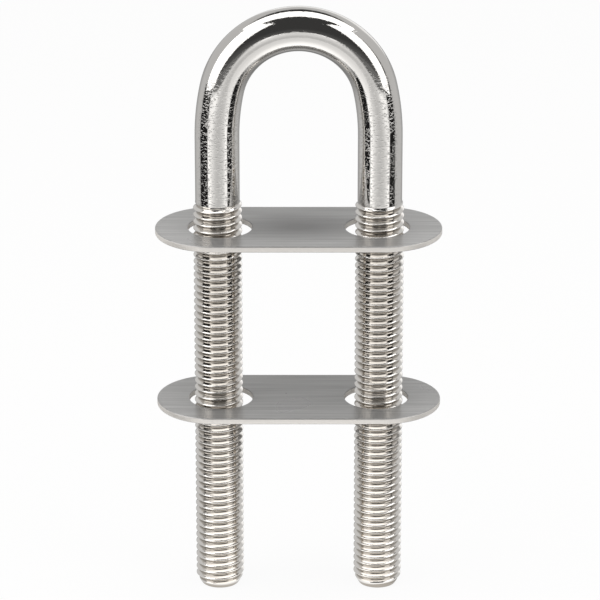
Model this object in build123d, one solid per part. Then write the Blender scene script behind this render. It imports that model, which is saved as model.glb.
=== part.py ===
from build123d import *
import math
import os

# Stern eye: a stainless U-bolt with two oval plates strung on its legs.
# X runs across the legs, the front is -Y and +Z is up.
# The origin lies between the leg axes, on the underside of the deck plate, where the hull meets it.

# U-bolt
leg_spacing = 39.7
shank_diameter = 10.9
eye_height = 58.0
arch_rise = 27.2
haunch_radius = 58.0

# Threaded legs
thread_diameter = 12.0
thread_pitch = 1.75
thread_top = 8.8
leg_reach = 93.5
tip_end_diameter = 9.4
tip_length = 2.3

# Oval plates
plate_length = 70.5
plate_width = 29.0
plate_thickness = 1.5
plate_edge_break = 0.15
hole_diameter = 15.8
hole_spacing = 38.6
leg_clearance = 0.85

# Thickness of hull that the plates stand apart for
clamped_gap = 43.6

# Places that follow from the sizes
shank_radius = shank_diameter / 2
thread_radius = thread_diameter / 2
half_spacing = leg_spacing / 2
crown_z = eye_height - shank_radius
spring_z = crown_z - arch_rise
backing_plate_bottom = -clamped_gap - plate_thickness


def arch_centreline():
    """Straight legs joined by a three-centred arch: two long haunch arcs and a tight crown arc."""
    haunch_offset = haunch_radius - half_spacing
    crown_radius = (haunch_radius**2 - haunch_offset**2 - arch_rise**2) / (2 * (haunch_radius - arch_rise))
    crown_centre = arch_rise - crown_radius
    haunch_angle = math.atan2(crown_centre, haunch_offset)
    joint_x = haunch_radius * math.cos(haunch_angle) - haunch_offset
    joint_z = spring_z + haunch_radius * math.sin(haunch_angle)
    middle_x = haunch_radius * math.cos(haunch_angle / 2) - haunch_offset
    middle_z = spring_z + haunch_radius * math.sin(haunch_angle / 2)
    left_leg = Line((-half_spacing, 0, thread_top), (-half_spacing, 0, spring_z))
    left_haunch = ThreePointArc((-half_spacing, 0, spring_z), (-middle_x, 0, middle_z), (-joint_x, 0, joint_z))
    crown = ThreePointArc((-joint_x, 0, joint_z), (0, 0, crown_z), (joint_x, 0, joint_z))
    right_haunch = ThreePointArc((joint_x, 0, joint_z), (middle_x, 0, middle_z), (half_spacing, 0, spring_z))
    right_leg = Line((half_spacing, 0, spring_z), (half_spacing, 0, thread_top))
    return Wire([left_leg, left_haunch, crown, right_haunch, right_leg])


def threaded_leg():
    """Envelope of one rolled thread, from its run-out at the shank to the chamfered tip."""
    profile = Polyline(
        (0, thread_top),
        (shank_radius, thread_top),
        (thread_radius, thread_top - thread_pitch),
        (thread_radius, tip_length - leg_reach),
        (tip_end_diameter / 2, -leg_reach),
        (0, -leg_reach),
        close=True,
    )
    return revolve(Plane.XZ * make_face(profile), Axis.Z)


def u_bolt():
    """One bar bent to an eye, with both ends threaded."""
    section = Plane((-half_spacing, 0, thread_top), z_dir=(0, 0, 1)) * Circle(shank_radius)
    bar = sweep(section, path=arch_centreline())
    legs = [Pos(side * half_spacing, 0, 0) * threaded_leg() for side in (-1, 1)]
    return bar + legs[0] + legs[1]


def oval_plate(bottom):
    """Stamped plate with round ends and two loose holes, hanging back towards the legs."""
    slack = (hole_diameter - thread_diameter) / 2 - leg_clearance
    side_offset = (leg_spacing - hole_spacing) / 2
    hang_back = math.sqrt(slack**2 - side_offset**2)
    blank = extrude(SlotOverall(plate_length, plate_width), plate_thickness)
    blank = chamfer(blank.edges().group_by(Axis.Z)[-1] + blank.edges().group_by(Axis.Z)[0], plate_edge_break)
    for side in (-1, 1):
        blank -= Pos(side * hole_spacing / 2, 0, 0) * extrude(Circle(hole_diameter / 2), plate_thickness)
    return Pos(0, hang_back, bottom) * blank


nodes = {
    "u_bolt": u_bolt(),
    "deck_plate": oval_plate(0),
    "backing_plate": oval_plate(backing_plate_bottom),
}

os.makedirs("parts", exist_ok=True)
for name, solid in nodes.items():
    export_step(solid, f"parts/{name}.step")
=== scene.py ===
import math

import bpy
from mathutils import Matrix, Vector


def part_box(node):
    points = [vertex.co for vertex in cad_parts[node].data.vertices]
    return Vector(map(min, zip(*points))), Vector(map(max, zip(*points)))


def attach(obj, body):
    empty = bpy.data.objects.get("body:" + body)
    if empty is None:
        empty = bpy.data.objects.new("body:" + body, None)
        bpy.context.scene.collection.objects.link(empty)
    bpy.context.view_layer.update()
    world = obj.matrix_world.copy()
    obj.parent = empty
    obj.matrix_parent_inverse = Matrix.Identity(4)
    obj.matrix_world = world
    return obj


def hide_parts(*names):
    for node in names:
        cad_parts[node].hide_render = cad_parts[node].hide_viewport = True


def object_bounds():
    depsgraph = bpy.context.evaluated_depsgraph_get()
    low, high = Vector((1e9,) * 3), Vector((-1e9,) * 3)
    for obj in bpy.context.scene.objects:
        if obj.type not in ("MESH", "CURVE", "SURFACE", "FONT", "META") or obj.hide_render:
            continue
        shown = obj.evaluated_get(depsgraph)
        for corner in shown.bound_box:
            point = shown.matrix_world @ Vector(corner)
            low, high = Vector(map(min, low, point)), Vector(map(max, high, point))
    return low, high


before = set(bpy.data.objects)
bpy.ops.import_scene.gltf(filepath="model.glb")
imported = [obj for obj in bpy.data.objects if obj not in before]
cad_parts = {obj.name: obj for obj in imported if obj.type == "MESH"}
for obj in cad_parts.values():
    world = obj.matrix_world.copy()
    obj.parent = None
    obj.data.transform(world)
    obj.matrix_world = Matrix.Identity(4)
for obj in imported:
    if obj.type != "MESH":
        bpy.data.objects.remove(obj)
cad_low, cad_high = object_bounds()

# Sizes in metres
MM = 0.001
shank_radius = 5.45 * MM
thread_radius = 6.0 * MM
thread_pitch = 1.75 * MM
thread_top = 8.8 * MM
tip_end_radius = 4.7 * MM
tip_length = 2.3 * MM
haunch_radius = 58.0 * MM
arch_rise = 27.2 * MM
hole_radius = 7.9 * MM
hole_spacing = 38.6 * MM
plate_edge_radius = 0.28 * MM

# Places read from the frame
bolt_low, bolt_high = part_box("u_bolt")
leg_x = bolt_high.x - thread_radius
leg_end = bolt_low.z
spring_z = bolt_high.z - shank_radius - arch_rise


def select_only(piece):
    """Makes one object the active one and the only one selected."""
    bpy.ops.object.select_all(action="DESELECT")
    piece.select_set(True)
    bpy.context.view_layer.objects.active = piece


def added(name):
    """Names the primitive that was just added and sets its place into its mesh."""
    piece = bpy.context.object
    piece.name = name
    piece.data.name = name
    select_only(piece)
    bpy.ops.object.transform_apply(location=True, rotation=True, scale=True)
    return piece


def edit(piece, select_mode="VERT"):
    """Opens one object for editing with nothing in it selected."""
    select_only(piece)
    bpy.ops.object.mode_set(mode="EDIT")
    bpy.ops.mesh.select_mode(type=select_mode)
    bpy.ops.mesh.select_all(action="DESELECT")


def apply_modifier(piece, name, kind, **settings):
    """Adds one modifier, sets it and applies it."""
    modifier = piece.modifiers.new(name, kind)
    for key, value in settings.items():
        setattr(modifier, key, value)
    select_only(piece)
    bpy.ops.object.modifier_apply(modifier=name)


def smoothstep(low, high, value):
    """Eases from 0 to 1 as a value goes from low to high."""
    share = min(max((value - low) / (high - low), 0.0), 1.0)
    return share * share * (3 - 2 * share)


# The bent bar

BAR_SIDES = 64
CROWN_STEPS = 72
HAUNCH_STEPS = 8
bar_crease = math.radians(40)
weld_gap = 0.04 * MM
shank_foot = thread_top + weld_gap


def arch_bends():
    """Crown radius and haunch angle of the three-centred arch, from its rise and haunch radius."""
    haunch_offset = haunch_radius - leg_x
    crown_radius = (haunch_radius**2 - haunch_offset**2 - arch_rise**2) / (2 * (haunch_radius - arch_rise))
    return crown_radius, math.atan2(arch_rise - crown_radius, haunch_offset)


def bent_bar():
    """Plain shanks and arch: a circle drawn up the left leg, spun round the bends, drawn down the right."""
    crown_radius, haunch_angle = arch_bends()
    shank_length = spring_z - shank_foot
    foot = (-leg_x, 0, shank_foot)
    bpy.ops.mesh.primitive_circle_add(vertices=BAR_SIDES, radius=shank_radius, location=foot)
    bar = added("bar")
    edit(bar)
    bpy.ops.mesh.select_all(action="SELECT")
    bpy.ops.mesh.extrude_region_move(TRANSFORM_OT_translate={"value": (0, 0, shank_length)})
    bends = (
        (HAUNCH_STEPS, haunch_angle, (haunch_radius - leg_x, 0, spring_z)),
        (CROWN_STEPS, math.pi - 2 * haunch_angle, (0, 0, spring_z + arch_rise - crown_radius)),
        (HAUNCH_STEPS, haunch_angle, (leg_x - haunch_radius, 0, spring_z)),
    )
    for steps, angle, centre in bends:
        bpy.ops.mesh.spin(steps=steps, angle=angle, center=centre, axis=(0, -1, 0))
    bpy.ops.mesh.extrude_region_move(TRANSFORM_OT_translate={"value": (0, 0, -shank_length)})
    bpy.ops.object.mode_set(mode="OBJECT")
    return bar


# The rolled threads

THREAD_SIDES = 52
left_start, right_start = math.radians(45), math.radians(287)
run_out = 0.7 * thread_pitch
spare_turns = 2
cut_limit = 0.001 * MM
seam_limit = 0.002 * MM


def thread_profile():
    """Crest to crest, as height up the leg and depth below the crest: three arcs down a flank, then up."""
    crest_radius, root_radius = 0.15 * MM, 0.42 * MM
    crest_slope, root_slope = math.radians(58), math.radians(63)
    left_over = thread_pitch / 2 - crest_radius * math.sin(crest_slope) - root_radius * math.sin(root_slope)
    flank_radius = left_over / (math.sin(root_slope) - math.sin(crest_slope))
    arcs = (
        (crest_radius, 0.0, crest_slope, 2),
        (flank_radius, crest_slope, root_slope, 2),
        (root_radius, root_slope, 0.0, 3),
    )
    half = [(0.0, 0.0)]
    for radius, start, stop, steps in arcs:
        height, depth = half[-1]
        for step in range(1, steps + 1):
            slope = start + (stop - start) * step / steps
            rise = abs(math.sin(slope) - math.sin(start)) * radius
            fall = abs(math.cos(slope) - math.cos(start)) * radius
            half.append((height + rise, depth + fall))
    mirrored = [(thread_pitch - height, depth) for height, depth in reversed(half[:-1])]
    return half + mirrored


def fade_thread(piece, side):
    """Lets the thread run out into the shank and turns its tip to a chamfer, like the real rolled end."""
    for vertex in piece.data.vertices:
        place = vertex.co
        across = Vector((place.x - side * leg_x, place.y))
        radius = across.length
        plain = smoothstep(thread_top - run_out, thread_top, place.z)
        radius += (shank_radius - radius) * plain
        tip_radius = tip_end_radius + (thread_radius - tip_end_radius) * (place.z - leg_end) / tip_length
        across *= min(radius, max(tip_radius, tip_end_radius)) / across.length
        place.x = side * leg_x + across.x
        place.y = across.y


def threaded_leg(side, start_angle):
    """One thread: a crest-to-crest profile, repeated up the leg and screwed round it, then cut to length."""
    turns = math.ceil((thread_top - leg_end) / thread_pitch) + spare_turns
    base = leg_end - thread_pitch * spare_turns / 2
    bpy.ops.mesh.primitive_plane_add(size=thread_pitch)
    leg = added("leg")
    edit(leg)
    bpy.ops.mesh.select_all(action="SELECT")
    bpy.ops.mesh.merge(type="CENTER")
    at_height, at_radius = 0.0, 0.0
    for height, depth in thread_profile():
        radius = thread_radius - depth
        if height == 0:
            bpy.ops.transform.translate(value=(radius, 0, 0))
        else:
            step = (radius - at_radius, 0, height - at_height)
            bpy.ops.mesh.extrude_region_move(TRANSFORM_OT_translate={"value": step})
        at_height, at_radius = height, radius
    bpy.ops.object.mode_set(mode="OBJECT")
    apply_modifier(
        leg, "repeat", "ARRAY", count=turns, use_relative_offset=False, use_constant_offset=True,
        constant_offset_displace=(0, 0, thread_pitch), use_merge_vertices=True, merge_threshold=0.01 * MM,
    )
    apply_modifier(
        leg, "screw", "SCREW", angle=math.tau, screw_offset=thread_pitch, steps=THREAD_SIDES,
        render_steps=THREAD_SIDES, use_merge_vertices=True, merge_threshold=0.001 * MM, use_smooth_shade=True,
    )
    leg.rotation_euler.z = start_angle
    leg.location = (side * leg_x, 0, base)
    select_only(leg)
    bpy.ops.object.transform_apply(location=True, rotation=True, scale=True)
    edit(leg)
    bpy.ops.mesh.select_all(action="SELECT")
    bpy.ops.mesh.remove_doubles(threshold=seam_limit)
    bpy.ops.mesh.select_all(action="SELECT")
    bpy.ops.mesh.bisect(
        plane_co=(0, 0, thread_top), plane_no=(0, 0, 1), clear_outer=True, threshold=cut_limit,
    )
    bpy.ops.mesh.select_all(action="SELECT")
    bpy.ops.mesh.bisect(
        plane_co=(0, 0, leg_end), plane_no=(0, 0, 1), clear_inner=True, use_fill=True, threshold=cut_limit,
    )
    bpy.ops.object.mode_set(mode="OBJECT")
    fade_thread(leg, side)
    return leg


def weld_end(bolt, side):
    """Joins the open end of a shank to the open end of its thread."""
    edit(bolt, "EDGE")
    bpy.ops.mesh.select_non_manifold(
        use_wire=False, use_multi_face=False, use_non_contiguous=False, use_verts=False,
    )
    bpy.ops.object.mode_set(mode="OBJECT")
    for edge in bolt.data.edges:
        middle = sum((bolt.data.vertices[i].co for i in edge.vertices), Vector()) / 2
        edge.select = edge.select and middle.x * side > 0
    bpy.ops.object.mode_set(mode="EDIT")
    bpy.ops.mesh.bridge_edge_loops()
    bpy.ops.object.mode_set(mode="OBJECT")


def threaded_u_bolt():
    """The whole U-bolt as one closed solid."""
    bar = bent_bar()
    legs = [threaded_leg(-1, left_start), threaded_leg(1, right_start)]
    bpy.ops.object.select_all(action="DESELECT")
    for leg in legs:
        leg.select_set(True)
    bar.select_set(True)
    bpy.context.view_layer.objects.active = bar
    bpy.ops.object.join()
    bar.name = "polished_u_bolt"
    bar.data.name = bar.name
    for side in (-1, 1):
        weld_end(bar, side)
    edit(bar)
    bpy.ops.mesh.select_all(action="SELECT")
    bpy.ops.mesh.normals_make_consistent(inside=False)
    bpy.ops.object.mode_set(mode="OBJECT")
    select_only(bar)
    bpy.ops.object.shade_smooth_by_angle(angle=bar_crease)
    apply_modifier(bar, "even", "WEIGHTED_NORMAL", mode="FACE_AREA", weight=50, keep_sharp=True)
    return bar


# The oval plates

PLATE_SIDES = 128
HOLE_SIDES = 96
edge_crease = math.radians(40)
plate_crease = math.radians(35)


def oval_plate(name, node):
    """Stamped plate: a disc parted into an oval, raised to its thickness, pierced twice, its edges rolled."""
    low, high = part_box(node)
    middle = (low + high) / 2
    end_radius = (high.y - low.y) / 2
    straight = (high.x - low.x) / 2 - end_radius
    thickness = high.z - low.z
    half_step = math.pi / PLATE_SIDES
    bpy.ops.mesh.primitive_circle_add(
        vertices=PLATE_SIDES, radius=end_radius / math.cos(half_step), fill_type="NGON",
        location=(middle.x, middle.y, low.z), rotation=(0, 0, half_step),
    )
    plate = added(name)
    for side in (-1, 1):
        edit(plate)
        bpy.ops.object.mode_set(mode="OBJECT")
        for vertex in plate.data.vertices:
            vertex.select = (vertex.co.x - middle.x) * side > 0
        bpy.ops.object.mode_set(mode="EDIT")
        bpy.ops.transform.translate(value=(side * straight, 0, 0))
        bpy.ops.object.mode_set(mode="OBJECT")
    edit(plate, "FACE")
    bpy.ops.mesh.select_all(action="SELECT")
    bpy.ops.mesh.extrude_region_move(TRANSFORM_OT_translate={"value": (0, 0, thickness)})
    bpy.ops.mesh.select_all(action="SELECT")
    bpy.ops.mesh.normals_make_consistent(inside=False)
    bpy.ops.object.mode_set(mode="OBJECT")
    for side in (-1, 1):
        bpy.ops.mesh.primitive_cylinder_add(
            vertices=HOLE_SIDES, radius=hole_radius, depth=4 * thickness,
            location=(middle.x + side * hole_spacing / 2, middle.y, middle.z),
        )
        punch = added("punch")
        apply_modifier(plate, "pierce", "BOOLEAN", operation="DIFFERENCE", solver="EXACT", object=punch)
        bpy.data.objects.remove(punch)
    apply_modifier(
        plate, "rolled_edge", "BEVEL", width=plate_edge_radius, segments=4, limit_method="ANGLE",
        angle_limit=edge_crease, harden_normals=False,
    )
    select_only(plate)
    bpy.ops.object.shade_smooth_by_angle(angle=plate_crease)
    apply_modifier(plate, "even", "WEIGHTED_NORMAL", mode="FACE_AREA", weight=50, keep_sharp=True)
    return plate


# Materials

class Value:
    """One output socket of a material; arithmetic on it adds Math nodes."""

    def __init__(self, paint, socket):
        self.paint = paint
        self.socket = socket

    def math(self, operation, *others):
        return self.paint.node("ShaderNodeMath", {"operation": operation}, self, *others)

    def __add__(self, other):
        return self.math("ADD", other)

    def __sub__(self, other):
        return self.math("SUBTRACT", other)

    def __rsub__(self, other):
        return self.paint.node("ShaderNodeMath", {"operation": "SUBTRACT"}, other, self)

    def __mul__(self, other):
        return self.math("MULTIPLY", other)

    __radd__ = __add__
    __rmul__ = __mul__


class Paint:
    """A node tree that nodes are added to, each with its settings and the values of its inputs."""

    def __init__(self, tree):
        self.tree = tree

    def node(self, kind, settings=None, *values, out=0, **named):
        """Adds one node, sets it up and gives back one of its outputs."""
        made = self.tree.nodes.new(kind)
        for key, value in (settings or {}).items():
            setattr(made, key, value)
        self.fill(made, dict(enumerate(values)), **named)
        return Value(self, made.outputs[out]) if made.outputs else None

    def fill(self, made, numbered=None, **named):
        """Sets a node's inputs, or links them where they come from another node."""
        inputs = dict(numbered or {})
        inputs.update({key.replace("_", " "): value for key, value in named.items()})
        for key, value in inputs.items():
            if isinstance(value, Value):
                self.tree.links.new(value.socket, made.inputs[key])
            else:
                made.inputs[key].default_value = value

    def place(self, scale=(1, 1, 1)):
        """Object coordinates, scaled along each axis."""
        return self.node("ShaderNodeMapping", {}, self.node("ShaderNodeTexCoord", out="Object"), Scale=scale)

    def axes(self, vector):
        """The parts of a vector along X, Y and Z."""
        return [self.node("ShaderNodeSeparateXYZ", {}, vector, out=axis) for axis in range(3)]

    def length(self, vector):
        return self.node("ShaderNodeVectorMath", {"operation": "LENGTH"}, vector, out="Value")

    def turn(self, across, depth):
        """Angle away from the front, the same to either side."""
        return across.math("ABSOLUTE").math("ARCTAN2", 0 - depth)

    def noise(self, place, scale, detail=2.0, roughness=0.5):
        return self.node(
            "ShaderNodeTexNoise", {}, Vector=place, Scale=scale, Detail=detail, Roughness=roughness,
        )

    def bump(self, height, strength, distance):
        return self.node("ShaderNodeBump", {}, Height=height, Strength=strength, Distance=distance)

    def between(self, value, low, high, to_low=0.0, to_high=1.0):
        """Maps a range of a value to another range, clamped."""
        return self.node("ShaderNodeMapRange", {}, value, low, high, to_low, to_high)

    def blend(self, share, one, other):
        """Mixes two colours."""
        return self.node("ShaderNodeMix", {"data_type": "RGBA"}, Factor=share, A=one, B=other, out=2)


def new_material(name):
    """An empty material, its paint and its principled shader."""
    material = bpy.data.materials.new(name)
    material.use_nodes = True
    return material, Paint(material.node_tree), material.node_tree.nodes["Principled BSDF"]


# Heights between which the pits fade up the shanks, and depths over which the thread's roots get painted shade
pits_full, pits_gone = 28 * MM, 46 * MM
root_edge, root_floor = 0.60 * MM, 0.90 * MM


def polished_steel():
    """Mirror-polished bar: fine pits drawn out round the legs, a smooth crown, a thread painted paler with
    painted shade in its roots.
    """
    material, paint, shader = new_material("polished_steel")
    across, depth, height = paint.axes(paint.place())
    threaded = paint.between(height, thread_top, thread_top - run_out)
    off_leg = across.math("ABSOLUTE") - leg_x
    radius = (off_leg * off_leg + depth * depth).math("SQRT")
    painted_root_shade = threaded * paint.between(radius, thread_radius - root_edge, thread_radius - root_floor)
    pits = paint.between(paint.noise(paint.place((0.45, 0.45, 1)), 2600, 3.0, 0.6), 0.54, 0.66)
    rough_legs = paint.between(height, pits_gone, pits_full, 0.15, 1.0)
    rough_legs = rough_legs * paint.between(threaded, 0, 1, 1.0, 0.3)
    smears = paint.noise(paint.place(), 160)
    # The thread gets a paler, warmer tone than the shank, a painted highlight on its crests; painted shade
    # darkens its roots.
    tone = paint.blend(threaded, (0.80, 0.78, 0.75, 1), (0.95, 0.92, 0.88, 1))
    tone = paint.blend(painted_root_shade, tone, (0.46, 0.42, 0.37, 1))
    paint.fill(
        shader, Base_Color=tone, Metallic=1.0, Roughness=0.02 + smears * 0.03 + threaded * 0.02,
        Normal=paint.bump(pits * rough_legs, 0.26, 0.1 * MM),
    )
    return material


def brushed_plate():
    """Satin stainless sheet, brushed lengthways, with painted shade behind and between the legs, a painted
    shadow under the arch, and a painted highlight on the edges.
    """
    material, paint, shader = new_material("brushed_plate")
    grain = paint.noise(paint.place((0.012, 1, 1)), 5200, 2.0, 0.6)
    streaks = paint.noise(paint.place((0.03, 1, 1)), 1300, 3.0)
    smudges = paint.noise(paint.place(), 55)
    across, depth, _ = paint.axes(paint.place())
    # Painted shade: the colour darkens behind the middle and between the legs, and a painted shadow and
    # reflection of the arch darkens the middle.
    behind = paint.between(depth, -10 * MM, 12 * MM, 0.0, 0.30)
    painted_shade_between_legs = paint.between(across.math("ABSOLUTE"), 32 * MM, 14 * MM, 0.0, 0.25)
    from_middle = paint.length(paint.place((1, 1.8, 0.55)))
    painted_arch_shadow = paint.between(from_middle + smudges * 0.01, 4 * MM, 26 * MM, 0.72, 0.0)
    # Painted highlight: faces turned sideways, the edges and hole walls, get a pale colour.
    facing_up = paint.axes(paint.node("ShaderNodeTexCoord", out="Normal"))[2].math("ABSOLUTE")
    edge = paint.between(facing_up, 0.25, 0.60, 1.0, 0.0)
    tone = paint.blend(
        paint.between(streaks, 0.3, 0.7), (0.36, 0.356, 0.350, 1), (0.52, 0.514, 0.505, 1),
    )
    tone = paint.blend(behind + painted_shade_between_legs + painted_arch_shadow, tone, (0.15, 0.147, 0.143, 1))
    paint.fill(
        shader, Base_Color=paint.blend(edge, tone, (0.80, 0.77, 0.73, 1)), Metallic=0.5,
        Roughness=0.24 + smudges * 0.10 + edge * 0.15, Normal=paint.bump(grain, 0.30, 0.05 * MM),
    )
    return material


def dress(piece, material):
    """Gives a piece its one material."""
    piece.data.materials.clear()
    piece.data.materials.append(material)


# The object

steel = polished_steel()
sheet = brushed_plate()

u_bolt = threaded_u_bolt()
dress(u_bolt, steel)
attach(u_bolt, "eye_bolt")
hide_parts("u_bolt")

for plate_name, node_name in (("oval_deck_plate", "deck_plate"), ("oval_backing_plate", "backing_plate")):
    plate = oval_plate(plate_name, node_name)
    dress(plate, sheet)
    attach(plate, node_name)
    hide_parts(node_name)


# Floor and studio

floor_reach = 6.0
backdrop_brightness = 0.56
paper_edge = math.radians(48), math.radians(53)


def paper_in_steel(paint, across, depth, turn, at_foot):
    """Brightness of the paper in front, mirrored in the steel: palest near the eye and at its sides."""
    off_middle = across - 0.02
    sides = (off_middle * off_middle * 10.5).math("MINIMUM", 0.50)
    near = paint.between(depth, -0.28, -0.24, 0.0, 0.22) + paint.between(depth, -0.19, -0.10, 0.0, 0.12)
    far = paint.between(depth, -0.36, -0.60, 0.0, 0.18)
    ahead = paint.between(turn, math.radians(6), math.radians(13), 1.0, 0.0)
    reach = paint.between(depth, -0.60, -0.50, 0.12, 1.0).math("MAXIMUM", ahead)
    shaded = paint.between(turn, math.radians(50), math.radians(95), 1.0, 0.42)
    return (0.58 + near + far + sides + 0.45 * at_foot) * reach * shaded


def rear_in_steel(paint, across, turn, from_origin):
    """Brightness of the floor behind, mirrored in the steel: dimmer in the middle, with a painted shadow close
    to the eye.
    """
    right = paint.between(across, 0.0, 0.01, 0.0, math.radians(12))
    on_rear = paint.between(turn + right, math.radians(92), math.radians(98))
    rear = paint.between(turn, math.radians(125), math.radians(150), backdrop_brightness, 0.36)
    # Painted shadow: the floor seen in the steel darkens close to the eye.
    return on_rear * rear * paint.between(from_origin, 0.10, 0.30, 0.3, 1.0)


def pale_floor():
    """White to the camera, with a soft shadow; to steel pale paper in front, grey behind, dark between."""
    bpy.ops.mesh.primitive_plane_add(size=2 * floor_reach, location=(0, 0, cad_low.z))
    floor = added("floor")
    material = bpy.data.materials.new("pale_floor")
    material.use_nodes = True
    material.node_tree.nodes.clear()
    paint = Paint(material.node_tree)
    to_camera = paint.node("ShaderNodeLightPath", out="Is Camera Ray")
    to_steel = paint.node("ShaderNodeLightPath", out="Is Glossy Ray")
    across, depth, _ = paint.axes(paint.place())
    turn = paint.turn(across, depth)
    from_origin = paint.length(paint.place())
    at_foot = paint.between(from_origin, 0.10, 0.16, 1.0, 0.0)
    on_paper = paint.between(turn, *paper_edge, 1.0, 0.0).math("MAXIMUM", at_foot)
    paper = paper_in_steel(paint, across, depth, turn, at_foot)
    mirrored = 0.015 + on_paper * paper + (1 - on_paper) * rear_in_steel(paint, across, turn, from_origin)
    matt = paint.node("ShaderNodeBsdfDiffuse", {}, Color=(0.80, 0.79, 0.78, 1))
    white = paint.node("ShaderNodeEmission", {}, Color=to_camera + to_steel * mirrored)
    mixed = paint.node("ShaderNodeMixShader", {}, to_camera * 0.93 + to_steel, matt, white)
    paint.node("ShaderNodeOutputMaterial", {}, Surface=mixed)
    dress(floor, material)


def soft_box(name, size, azimuth, elevation, distance, brightness, aim=(0, 0, 0.04)):
    """A soft box aimed at the eye; in the steel it shows as bright as a white card of that strength."""
    data = bpy.data.lights.new(name, "AREA")
    data.shape = "RECTANGLE"
    data.size, data.size_y = size
    data.energy = brightness * math.pi * size[0] * size[1]
    box = bpy.data.objects.new(name, data)
    bpy.context.scene.collection.objects.link(box)
    flat = math.cos(elevation) * distance
    offset = Vector((math.sin(azimuth) * flat, -math.cos(azimuth) * flat, math.sin(elevation) * distance))
    box.location = Vector(aim) + offset
    box.rotation_euler = (-offset).to_track_quat("-Z", "Y").to_euler()
    box.visible_camera = False


def studio_world():
    """White to the camera, soft grey to matt surfaces; to steel a pale backdrop, with a dark room in front."""
    world = bpy.data.worlds.new("studio")
    bpy.context.scene.world = world
    world.use_nodes = True
    world.node_tree.nodes.clear()
    paint = Paint(world.node_tree)
    to_camera = paint.node("ShaderNodeLightPath", out="Is Camera Ray")
    to_steel = paint.node("ShaderNodeLightPath", out="Is Glossy Ray")
    to_matt = (1 - to_camera) * (1 - to_steel)
    across, depth, height = paint.axes(paint.node("ShaderNodeTexCoord", out="Generated"))
    walls = backdrop_brightness * paint.between(height, 0.68, 0.77, 1.0, 0.06)
    off_middle = across - 0.2
    white_cloth = paint.between(off_middle * off_middle, 0.10, 0.16, 0.44, 0.0)
    white_cloth = white_cloth * paint.between(depth, 0.2, 0.4) * paint.between(height, 0.26, 0.42, 1.0, 0.0)
    room = paint.between(height, 0.0, 0.30, 0.09, 0.045)
    behind = paint.between(paint.turn(across, depth), math.radians(80), math.radians(86))
    mirrored = behind * (walls + white_cloth) + (1 - behind) * room
    light = paint.node("ShaderNodeBackground", {}, Color=to_camera + to_steel * mirrored + to_matt * 0.55)
    paint.node("ShaderNodeOutputWorld", {}, Surface=light)


pale_floor()
studio_world()
soft_box("overhead_softbox", (1.25, 0.39), math.radians(180), math.radians(82), 0.65, 1.7)
soft_box("left_softbox", (0.50, 0.76), math.radians(-65), math.radians(26), 0.60, 1.5)
soft_box("right_softbox", (0.36, 0.74), math.radians(60), math.radians(24), 0.60, 1.5)


# Camera at the photograph's angle

camera_distance = 1.0
camera_elevation = math.radians(21.09)
camera_aim = Vector((0.00033, 0, -0.01747))
camera_lens = 243.05

camera_data = bpy.data.cameras.new("camera")
camera = bpy.data.objects.new("camera", camera_data)
bpy.context.scene.collection.objects.link(camera)
camera_data.lens = camera_lens
camera_back = Vector((0, -math.cos(camera_elevation), math.sin(camera_elevation)))
camera.location = camera_aim + camera_back * camera_distance
camera.rotation_euler = (math.pi / 2 - camera_elevation, 0, 0)
bpy.context.scene.camera = camera
bpy.context.scene.view_settings.view_transform = "Standard"
